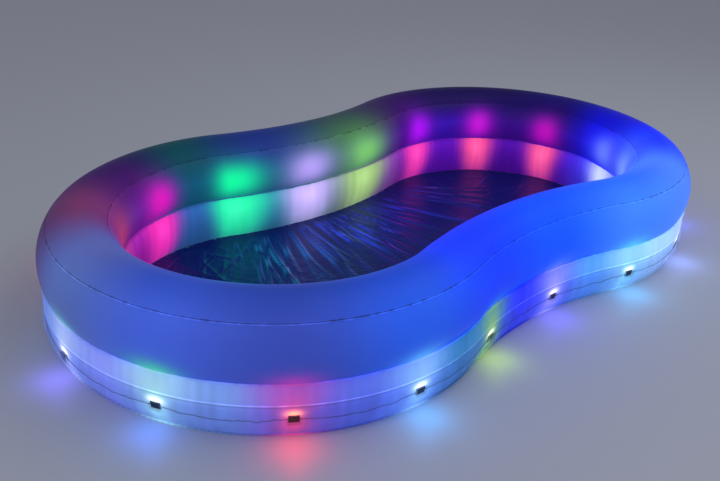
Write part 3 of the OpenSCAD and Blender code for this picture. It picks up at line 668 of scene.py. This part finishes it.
def makeLenses():
    points, faces, colours = [], [], []
    sides = lens["sides"]
    for i, spot in enumerate(lampRuns):
        low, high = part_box(f"light_{i + 1}")
        _, _, sideX, sideY, _ = (float(v) for v in alongRing(np.array(spot)))
        middle = np.array([(low.x + high.x) / 2, (low.y + high.y) / 2, (low.z + high.z) / 2])
        out = np.array([sideX, sideY, 0.0])
        along = np.array([-sideY, sideX, 0.0])
        start = len(points)
        for share, rise in lens["profile"]:
            for k in range(sides):
                turn = 2 * math.pi * k / sides
                spoke = along * math.cos(turn) + np.array([0, 0, 1]) * math.sin(turn)
                depth = lens["back"] + lens["dome"] * rise
                points.append(middle - out * depth + spoke * lens["radius"] * share)
                colours.append(toLight(np.array(lampHues[i]) * 1.2))
        for _ in lens["profile"][1:]:
            for k in range(sides):
                a, b = start + k, start + (k + 1) % sides
                faces.append((a, a + sides, b + sides, b))
            start += sides
        faces.append(tuple(start + k for k in range(sides)))
    mesh = bpy.data.meshes.new("lampLenses")
    mesh.from_pydata([tuple(p) for p in points], [], faces)
    mesh.polygons.foreach_set("use_smooth", np.ones(len(faces), bool))
    paint(mesh, "glow", np.array(colours))
    material, tree, shader = newMaterial("lensLit")
    glow = glowOf(tree)
    tree.links.new(glow, shader.inputs["Base Color"])
    tree.links.new(glow, shader.inputs["Emission Color"])
    shader.inputs["Emission Strength"].default_value = lens["shine"]
    tree.links.new(ramp(tree, ripple(tree, 300), 0.3, 0.7, 0.15, 0.3), shader.inputs["Roughness"])
    addPiece("lampLenses", mesh, material, stands=["light_lenses"])


makeLenses()
print("lenses made")

# the lamps' cable, loose in the sleeve
cable = {"radius": 0.0011, "sag": 0.008, "wander": 0.0022, "sides": 8}


def tubeRound(path, radius, sides):
    forward = np.gradient(path, axis=0)
    forward /= np.linalg.norm(forward, axis=1)[:, None]
    level = np.cross(forward, (0, 0, 1.0))
    level /= np.linalg.norm(level, axis=1)[:, None]
    upright = np.cross(level, forward)
    turn = np.linspace(0, 2 * math.pi, sides, endpoint=False)
    around = np.cos(turn)[None, :, None] * level[:, None] + np.sin(turn)[None, :, None] * upright[:, None]
    points = path[:, None] + radius * around
    return np.concatenate([points, points[:, :1]], 1)


def makeCable():
    firstRun, lastRun = runOf("wire_grommet"), lampRuns[17] - 0.014
    span = np.mod(lastRun - firstRun, wholeRun)
    run = firstRun + np.linspace(0, span, 2600)
    nearest = np.min([np.abs(runGap(run, spot)) for spot in lampRuns], axis=0)
    slack = np.clip((nearest - 0.014) / 0.05, 0, 1)
    between = np.sin(np.clip(nearest / (lampPitch / 2), 0, 1) * math.pi / 2) ** 2
    height = lampHeight - cable["sag"] * (0.3 + 0.7 * between) * slack
    height = height + cable["wander"] * slack * (wave(run, 95, 40, 110, 8) + 0.6 * wave(run, 96, 120, 260, 8))
    lead = np.clip((run - firstRun) / 0.075, 0, 1)
    lead = lead * lead * (3 - 2 * lead)
    height = 0.088 * (1 - lead) + height * lead
    offset = lowerOffset(height) + 0.0024 + 0.0030 * (1 - lead)
    offset = offset + 0.0006 * slack * np.abs(wave(run, 97, 60, 120, 6))
    x, y, sideX, sideY, _ = alongRing(run)
    path = np.stack([x + sideX * offset, y + sideY * offset, height], 1)
    points = tubeRound(path, cable["radius"], cable["sides"])
    mesh = gridMesh("lampCable", points, closedRound=False)
    addPiece("lampCable", mesh, finishes["cable"], stands=["light_wire"])


# the floor film and the folds in it
floorFilm = {
    "columns": 1100, "rows": 130, "seed": 5, "longFolds": 95, "endFolds": 50, "spare": 0.02, "foldShare": 1.02,
    "drainHole": 0.0145, "drainFlat": 0.026, "drainEase": 0.03, "drainRise": 0.0013,
    "glints": [  # middle, screen colour and reach of the light that the folds catch
        ((-0.50, 0.02), (30, 170, 110), 0.24), ((-0.36, 0.22), (24, 150, 120), 0.2),
        ((-0.05, 0.2), (50, 70, 170), 0.26), ((0.3, 0.28), (70, 50, 200), 0.22),
        ((0.62, 0.3), (170, 30, 110), 0.2), ((0.8, 0.05), (120, 24, 110), 0.22),
        ((0.55, 0.0), (40, 50, 220), 0.25), ((-0.85, 0.15), (110, 40, 150), 0.22),
    ],
}


def foldLine(x, y, startX, startY, turn, length, width, lean):
    # one fold: how high it stands at each point, 0 to 1
    alongFold = (x - startX) * math.cos(turn) + (y - startY) * math.sin(turn)
    acrossFold = -(x - startX) * math.sin(turn) + (y - startY) * math.cos(turn)
    acrossFold = acrossFold + lean * alongFold ** 2 + 0.006 * np.sin(alongFold * 11 + startX * 40)
    wide = width * (0.7 + 1.3 * np.clip(alongFold / length, 0, 1))
    fade = np.clip(alongFold / 0.05, 0, 1) * np.clip((length - alongFold) / (0.6 * length), 0, 1)
    return fade * np.exp(-np.abs(acrossFold / wide) ** 1.5)


def floorHeight(x, y):
    chance = np.random.default_rng(floorFilm["seed"])
    height = np.zeros_like(x)
    for _ in range(floorFilm["longFolds"]):  # long folds that fan out from the back of the waist
        start = chance.uniform(-0.62, 0.55)
        turn = -math.pi / 2 + start * chance.uniform(1.2, 2.1) + chance.normal(0, 0.07)
        startY = 0.41 + 0.16 * start * start
        height += chance.uniform(0.0012, 0.0040) * foldLine(
            x, y, start, startY, turn, chance.uniform(0.3, 1.1), chance.uniform(0.0035, 0.0085),
            chance.normal(0, 0.12))
    for _ in range(floorFilm["endFolds"]):  # folds that run in from the wall of each round end
        side = -1 if chance.random() < 0.5 else 1
        turn = chance.uniform(-1.7, 1.7) + (0 if side > 0 else math.pi)
        startX, startY = side * lobeCentre + 0.47 * math.cos(turn), 0.47 * math.sin(turn)
        height += chance.uniform(0.0010, 0.0030) * foldLine(
            x, y, startX, startY, turn + math.pi + chance.normal(0, 0.35), chance.uniform(0.1, 0.4),
            chance.uniform(0.004, 0.008), chance.normal(0, 0.4))
    reach = np.hypot(x + 0.08, y - 0.46)
    fine = np.sin(reach * 2 * math.pi / 0.021 + 2 * np.sin(x * 9))
    height += 0.0006 * fine * bump(reach, 0.66, 0.2) * bump(x, -0.15, 0.3)
    crumple = bump(np.hypot((x + 0.52) / 1.3, y + 0.02), 0, 0.2)
    height += 0.0011 * np.sin(x * 71 + 3 * np.sin(y * 27)) * np.sin(y * 63 + 2.5 * np.sin(x * 33)) * crumple
    return height


def makeFloor():
    run = np.linspace(0, wholeRun, floorFilm["columns"], endpoint=False)
    x, y, sideX, sideY, _ = alongRing(run)
    inset = float(lowerOffset(np.array(0.0))) - 0.001
    edgeX, edgeY = x - sideX * inset, y - sideY * inset
    spineX = np.clip(edgeX, -lobeCentre, lobeCentre)
    share = np.linspace(0, 1, floorFilm["rows"]) ** 0.85
    px = spineX[:, None] * (1 - share)[None] + edgeX[:, None] * share[None]
    py = edgeY[:, None] * share[None]
    gapToEdge = np.hypot(px - edgeX[:, None], py - edgeY[:, None])
    settle = np.clip(gapToEdge / 0.05, 0, 1)
    edgePucker = puckers(run, 91, 0.022, 0.006)[:, None] * np.exp(-gapToEdge / 0.035) * 0.002
    pz = 0.0016 + floorHeight(px, py) * settle + np.abs(edgePucker)
    drainLow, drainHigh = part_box("drain_seat")
    drainX, drainY = (drainLow.x + drainHigh.x) / 2, (drainLow.y + drainHigh.y) / 2
    drainGap = np.hypot(px - drainX, py - drainY)
    free = np.clip((drainGap - floorFilm["drainFlat"]) / floorFilm["drainEase"], 0, 1)
    pz = pz * free + floorFilm["drainRise"] * (1 - free)
    points = np.stack([px, py, pz], 2)
    mesh = gridMesh("floorFilm", points, keep=(drainGap > floorFilm["drainHole"]).reshape(-1))
    glint = np.zeros(points.shape)
    slope = np.gradient(pz, axis=0) * 420
    base = np.stack([5 + 0 * px, 14 + 0 * px, 70 + 0 * px], 2)
    lit = np.clip(np.abs(slope), 0, 1)
    for (cx, cy), colour, wide in floorFilm["glints"]:
        near = np.exp(-(np.hypot(px - cx, py - cy) / wide) ** 2)
        glint = mixTo(glint, np.array(colour), near * 0.9)
    colour = base + glint * (0.05 + 0.72 * lit[..., None] ** 1.4)
    paint(mesh, "glow", toLight(colour))
    piece = addPiece("floorFilm", mesh, basinFilm, stands=["floor_sheet"])
    wide, deep = 2 * float(edgeX.max()) + floorFilm["spare"], 2 * float(edgeY.max()) + floorFilm["spare"]


def basinMaterial():
    material, tree, shader = newMaterial("basinFilm")
    glow = glowOf(tree)
    tree.links.new(glow, shader.inputs["Base Color"])
    tree.links.new(glow, shader.inputs["Emission Color"])
    shader.inputs["Emission Strength"].default_value = 0.6
    shader.inputs["Specular IOR Level"].default_value = 0.16
    cloud = ripple(tree, 6, 4)
    tree.links.new(ramp(tree, cloud, 0.3, 0.7, 0.24, 0.36), shader.inputs["Roughness"])
    addBump(tree, shader, [(ripple(tree, 22, 5, (1, 1, 1), 0.6), 0.5, 0.004), (ripple(tree, 110, 4), 0.25, 0.001)])
    return material


basinFilm = basinMaterial()
makeFloor()
print("floor film made")


def moulded(name, colour, rough, finish):
    material, tree, shader = newMaterial(name)
    mottle = ripple(tree, finish.get("mottleScale", 60), 3)
    shades = tree.nodes.new("ShaderNodeMix")
    shades.data_type, shades.blend_type = "RGBA", "MIX"
    low = [c * (1 - finish.get("mottle", 0.12)) for c in colour]
    high = [min(1, c * (1 + finish.get("mottle", 0.12))) for c in colour]
    shades.inputs["A"].default_value, shades.inputs["B"].default_value = (*low, 1), (*high, 1)
    tree.links.new(mottle, shades.inputs["Factor"])
    tree.links.new(shades.outputs["Result"], shader.inputs["Base Color"])
    wear = ramp(tree, ripple(tree, finish.get("wearScale", 120), 4), 0.3, 0.7, rough - 0.06, rough + 0.1)
    tree.links.new(wear, shader.inputs["Roughness"])
    shader.inputs["Metallic"].default_value = finish.get("metal", 0.0)
    # painted glow: the part's own colour shines as emission, standing in for lamp light passing through it
    if "shine" in finish:
        shader.inputs["Emission Strength"].default_value = finish["shine"]
        tree.links.new(shades.outputs["Result"], shader.inputs["Emission Color"])
    shader.inputs["Specular IOR Level"].default_value = finish.get("gloss", 0.5)
    grain = ripple(tree, finish.get("grainScale", 900), 2)
    addBump(tree, shader, [(grain, finish.get("grain", 0.3), 0.0003)])
    return material


finishes = {
    "black_plastic": moulded(
        "blackHousing", (0.009, 0.009, 0.011), 0.6, {"grain": 0.5, "grainScale": 1400, "gloss": 0.2}),
    "cable": moulded("cableJacket", (0.02, 0.022, 0.03), 0.42, {"grain": 0.2}),
    # the valve vinyl glows with painted light from its shine
    "valve_vinyl": moulded(
        "valveVinyl", (0.30, 0.34, 0.62), 0.35, {"grain": 0.12, "mottle": 0.06, "shine": 0.35}),
    "valve_insert": moulded("valveInsert", (0.05, 0.11, 0.32), 0.4, {"grain": 0.3}),
    "silicone": moulded("siliconeFlap", (0.62, 0.64, 0.68), 0.45, {"grain": 0.2}),
    "screw_steel": moulded("screwSteel", (0.62, 0.62, 0.64), 0.3, {"metal": 1.0, "grain": 0.2}),
    "cell_jacket": moulded("cellJacket", (0.62, 0.42, 0.08), 0.28, {"grain": 0.1}),
    "board": moulded("circuitBoard", (0.02, 0.2, 0.07), 0.35, {"grain": 0.3}),
    "button_grey": moulded("buttonRubber", (0.42, 0.44, 0.48), 0.6, {"grain": 0.4}),
    # the cradle vinyl glows with painted light from its shine
    "clear_vinyl": moulded(
        "cradleVinyl", (0.55, 0.62, 0.8), 0.25, {"grain": 0.1, "mottle": 0.05, "shine": 0.2}),
    "floor_vinyl": moulded("drainVinyl", (0.03, 0.06, 0.13), 0.3, {"grain": 0.1}),
}
nodeFinish = {
    "wire_grommet": "cable", "upper_valve_base": "valve_vinyl", "lower_valve_base": "valve_vinyl",
    "upper_valve_cap": "valve_vinyl", "lower_valve_cap": "valve_vinyl", "upper_valve_insert": "valve_insert",
    "lower_valve_insert": "valve_insert", "upper_valve_flap": "silicone", "lower_valve_flap": "silicone",
    "drain_seat": "floor_vinyl", "drain_plug": "black_plastic", "power_cradle": "clear_vinyl",
    "power_box": "black_plastic", "power_box_face": "black_plastic", "power_box_screws": "screw_steel",
    "battery_cover": "black_plastic", "battery_cells": "cell_jacket", "battery_contacts": "screw_steel",
    "control_board": "board", "mode_button": "button_grey",
    **{f"light_{i}": "black_plastic" for i in range(1, ring["lamps"] + 1)},
}
for cadNode, finish in nodeFinish.items():
    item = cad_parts[cadNode]
    if not item.material_slots:
        item.data.materials.append(finishes[finish])
    for place in item.material_slots:
        place.material = finishes[finish]
makeCable()
print("fittings finished")

# the plain floor, the studio light and the lamps' light on the ground
studio = {
    "floorColour": (0.62, 0.63, 0.66), "floorHalf": 45, "floorRough": 0.42,
    "sky": (0.80, 0.84, 1.0), "skyLevel": 0.30,
    "panels": [  # name, power, size, place, tint
        ("keyPanel", 34, 3.2, (1.6, -1.2, 3.4), (0.86, 0.9, 1.0)),
        ("fillPanel", 12, 3.0, (-3.0, -1.0, 2.2), (0.9, 0.92, 1.0)),
    ],
    "poolPower": 0.32, "poolAngle": 2.7, "poolReach": 0.152, "poolHeight": 0.085,
}
groundHues = [  # each lamp on the ground
    (110, 90, 255), (40, 110, 255), (255, 20, 60), (40, 170, 255), (160, 200, 20), (70, 60, 255),
    (50, 180, 255), (120, 150, 255), (60, 80, 255), (150, 150, 255), (255, 40, 90), (255, 40, 90),
    (255, 40, 120), (255, 40, 150), (150, 200, 40), (190, 120, 255), (30, 240, 120), (255, 40, 130),
]


def makeStudio():
    mesh = bpy.data.meshes.new("studioFloor")
    half = studio["floorHalf"]
    corners = [(-half, -half, 0), (half, -half, 0), (half, half, 0), (-half, half, 0)]
    mesh.from_pydata(corners, [], [(0, 1, 2, 3)])
    floor = bpy.data.objects.new("studioFloor", mesh)
    bpy.context.collection.objects.link(floor)
    material, _, shader = newMaterial("studioFloor")
    shader.inputs["Base Color"].default_value = (*studio["floorColour"], 1)
    shader.inputs["Roughness"].default_value = studio["floorRough"]
    mesh.materials.append(material)
    floor.location.z = -0.0004
    world = bpy.data.worlds.new("studioSky")
    bpy.context.scene.world = world
    world.use_nodes = True
    sky = world.node_tree.nodes["Background"]
    sky.inputs["Color"].default_value = (*studio["sky"], 1)
    sky.inputs["Strength"].default_value = studio["skyLevel"]
    for name, power, size, spot, tint in studio["panels"]:
        data = bpy.data.lights.new(name, "AREA")
        data.energy, data.size, data.color = power, size, tint
        panel = bpy.data.objects.new(name, data)
        aim = np.array(spot) / np.linalg.norm(spot)
        sideways = np.cross((0, 0, 1), aim)
        sideways /= np.linalg.norm(sideways)
        upright = np.cross(aim, sideways)
        rows = np.column_stack([sideways, upright, aim, spot])
        panel.matrix_world = Matrix(np.vstack([rows, (0, 0, 0, 1)]).tolist())
        bpy.context.collection.objects.link(panel)
    reach = studio["poolReach"]
    for i, spot in enumerate(lampRuns):
        x, y, sideX, sideY, _ = (float(v) for v in alongRing(np.array(spot)))
        data = bpy.data.lights.new(f"lampPool{i + 1}", "SPOT")  # shines straight down, off the lamps themselves
        data.energy, data.shadow_soft_size = studio["poolPower"], 0.03
        data.spot_size, data.spot_blend = studio["poolAngle"], 1.0
        data.color = tuple(toLight(groundHues[i]))
        pool = bpy.data.objects.new(f"lampPool{i + 1}", data)
        pool.location = (x + sideX * reach, y + sideY * reach, studio["poolHeight"])
        bpy.context.collection.objects.link(pool)
    bpy.context.scene.view_settings.view_transform = "Standard"


makeStudio()
print("studio lit")
